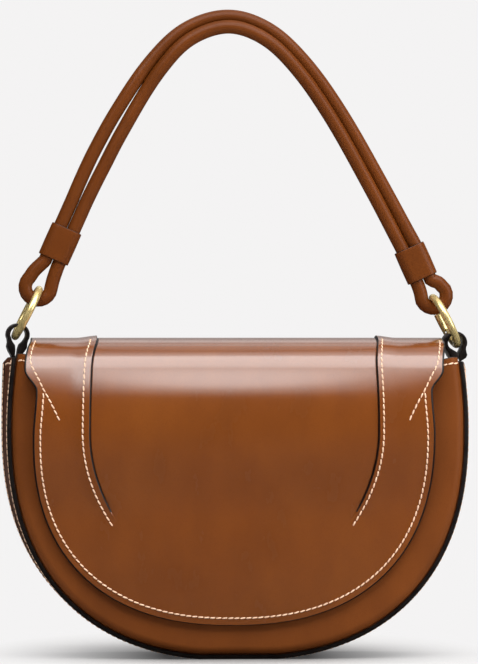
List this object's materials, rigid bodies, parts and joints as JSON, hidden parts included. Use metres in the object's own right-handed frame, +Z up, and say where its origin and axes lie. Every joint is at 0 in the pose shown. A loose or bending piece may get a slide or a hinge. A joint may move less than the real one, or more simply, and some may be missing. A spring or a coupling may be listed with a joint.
{
  "type": "half moon bag",
  "caption": "Half-moon top-handle bag: pillowed body with a lapped gusset, darted magnetic flap, gate rings on tab loops, doubled cord handle.",
  "frame": {"origin": "middle of the base on the surface the bag stands on", "axes": "+X to the viewer's right, the flap faces -Y, +Z up"},
  "size_m": [0.2622, 0.0746, 0.36],
  "materials": {
    "flap_leather": "smooth semi-gloss, toned from dark brown to tan",
    "panel_leather": "smooth satin",
    "gusset_leather": "satin, black painted cut edges",
    "cord_leather": "smooth satin",
    "lining": "matte microsuede",
    "board": "bonded leather board, matte",
    "brass": "polished",
    "steel": "satin",
    "magnet": "matte sintered"
  },
  "bodies": {
    "body": {"front_panel": "panel_leather", "front_stiffener": "board", "front_lining": "lining", "back_panel": "panel_leather", "back_stiffener": "board", "back_lining": "lining", "gusset": "gusset_leather", "gusset_stiffener": "board", "gusset_lining": "lining", "left_tab": "gusset_leather", "right_tab": "gusset_leather", "flap_root_strip": "flap_leather", "snap_female": "brass", "snap_magnet": "magnet", "snap_female_washer": "steel"},
    "flap_top": {"flap_crown": "flap_leather", "crown_lining": "lining"},
    "flap_front": {"flap_panel": "flap_leather", "flap_stiffener": "board", "flap_lining": "lining", "snap_male": "brass", "snap_male_washer": "steel"},
    "left_ring": {"left_ring": "brass", "left_gate_pin": "steel", "left_gate_spring": "steel"},
    "right_ring": {"right_ring": "brass", "right_gate_pin": "steel", "right_gate_spring": "steel"},
    "left_gate": {"left_gate": "brass"},
    "right_gate": {"right_gate": "brass"},
    "handle": {"handle_cord": "cord_leather", "left_keeper": "cord_leather", "right_keeper": "cord_leather"}
  },
  "joints": [
    {"name": "flap_top_hinge", "type": "hinge", "parent": "body", "child": "flap_top", "pos_m": [0, 0.0347, 0.157], "axis": [-1, 0, 0], "range_deg": [0, 5]},
    {"name": "flap_front_hinge", "type": "hinge", "parent": "flap_top", "child": "flap_front", "pos_m": [0, -0.03237, 0.1605], "axis": [-1, 0, 0], "range_deg": [0, 100]},
    {"name": "handle_swing", "type": "hinge", "parent": "body", "child": "handle", "pos_m": [0, 0.00546, 0.18855], "axis": [0.9998, 0, -0.0193], "range_deg": [-70, 70]},
    {"name": "left_ring_swing", "type": "hinge", "parent": "body", "child": "left_ring", "pos_m": [-0.1166, 0.00546, 0.1908], "axis": [0.9998, 0, -0.0193], "range_deg": [-35, 35]},
    {"name": "right_ring_swing", "type": "hinge", "parent": "body", "child": "right_ring", "pos_m": [0.1166, 0.00546, 0.1863], "axis": [0.9998, 0, -0.0193], "range_deg": [-35, 35]},
    {"name": "left_gate_hinge", "type": "hinge", "parent": "left_ring", "child": "left_gate", "pos_m": [-0.12001, 0.01803, 0.1841], "axis": [0.891, 0, -0.454], "range_deg": [0, 15], "stiffness_Nm_per_rad": 0.003, "springref_deg": -20.05},
    {"name": "right_gate_hinge", "type": "hinge", "parent": "right_ring", "child": "right_gate", "pos_m": [0.12001, 0.01803, 0.1796], "axis": [0.891, 0, 0.454], "range_deg": [0, 15], "stiffness_Nm_per_rad": 0.003, "springref_deg": -20.05}
  ],
  "couplings": [
    {"joint": "left_ring_swing", "follows": "handle_swing", "ratio": 0.5},
    {"joint": "right_ring_swing", "follows": "handle_swing", "ratio": 0.5}
  ]
}
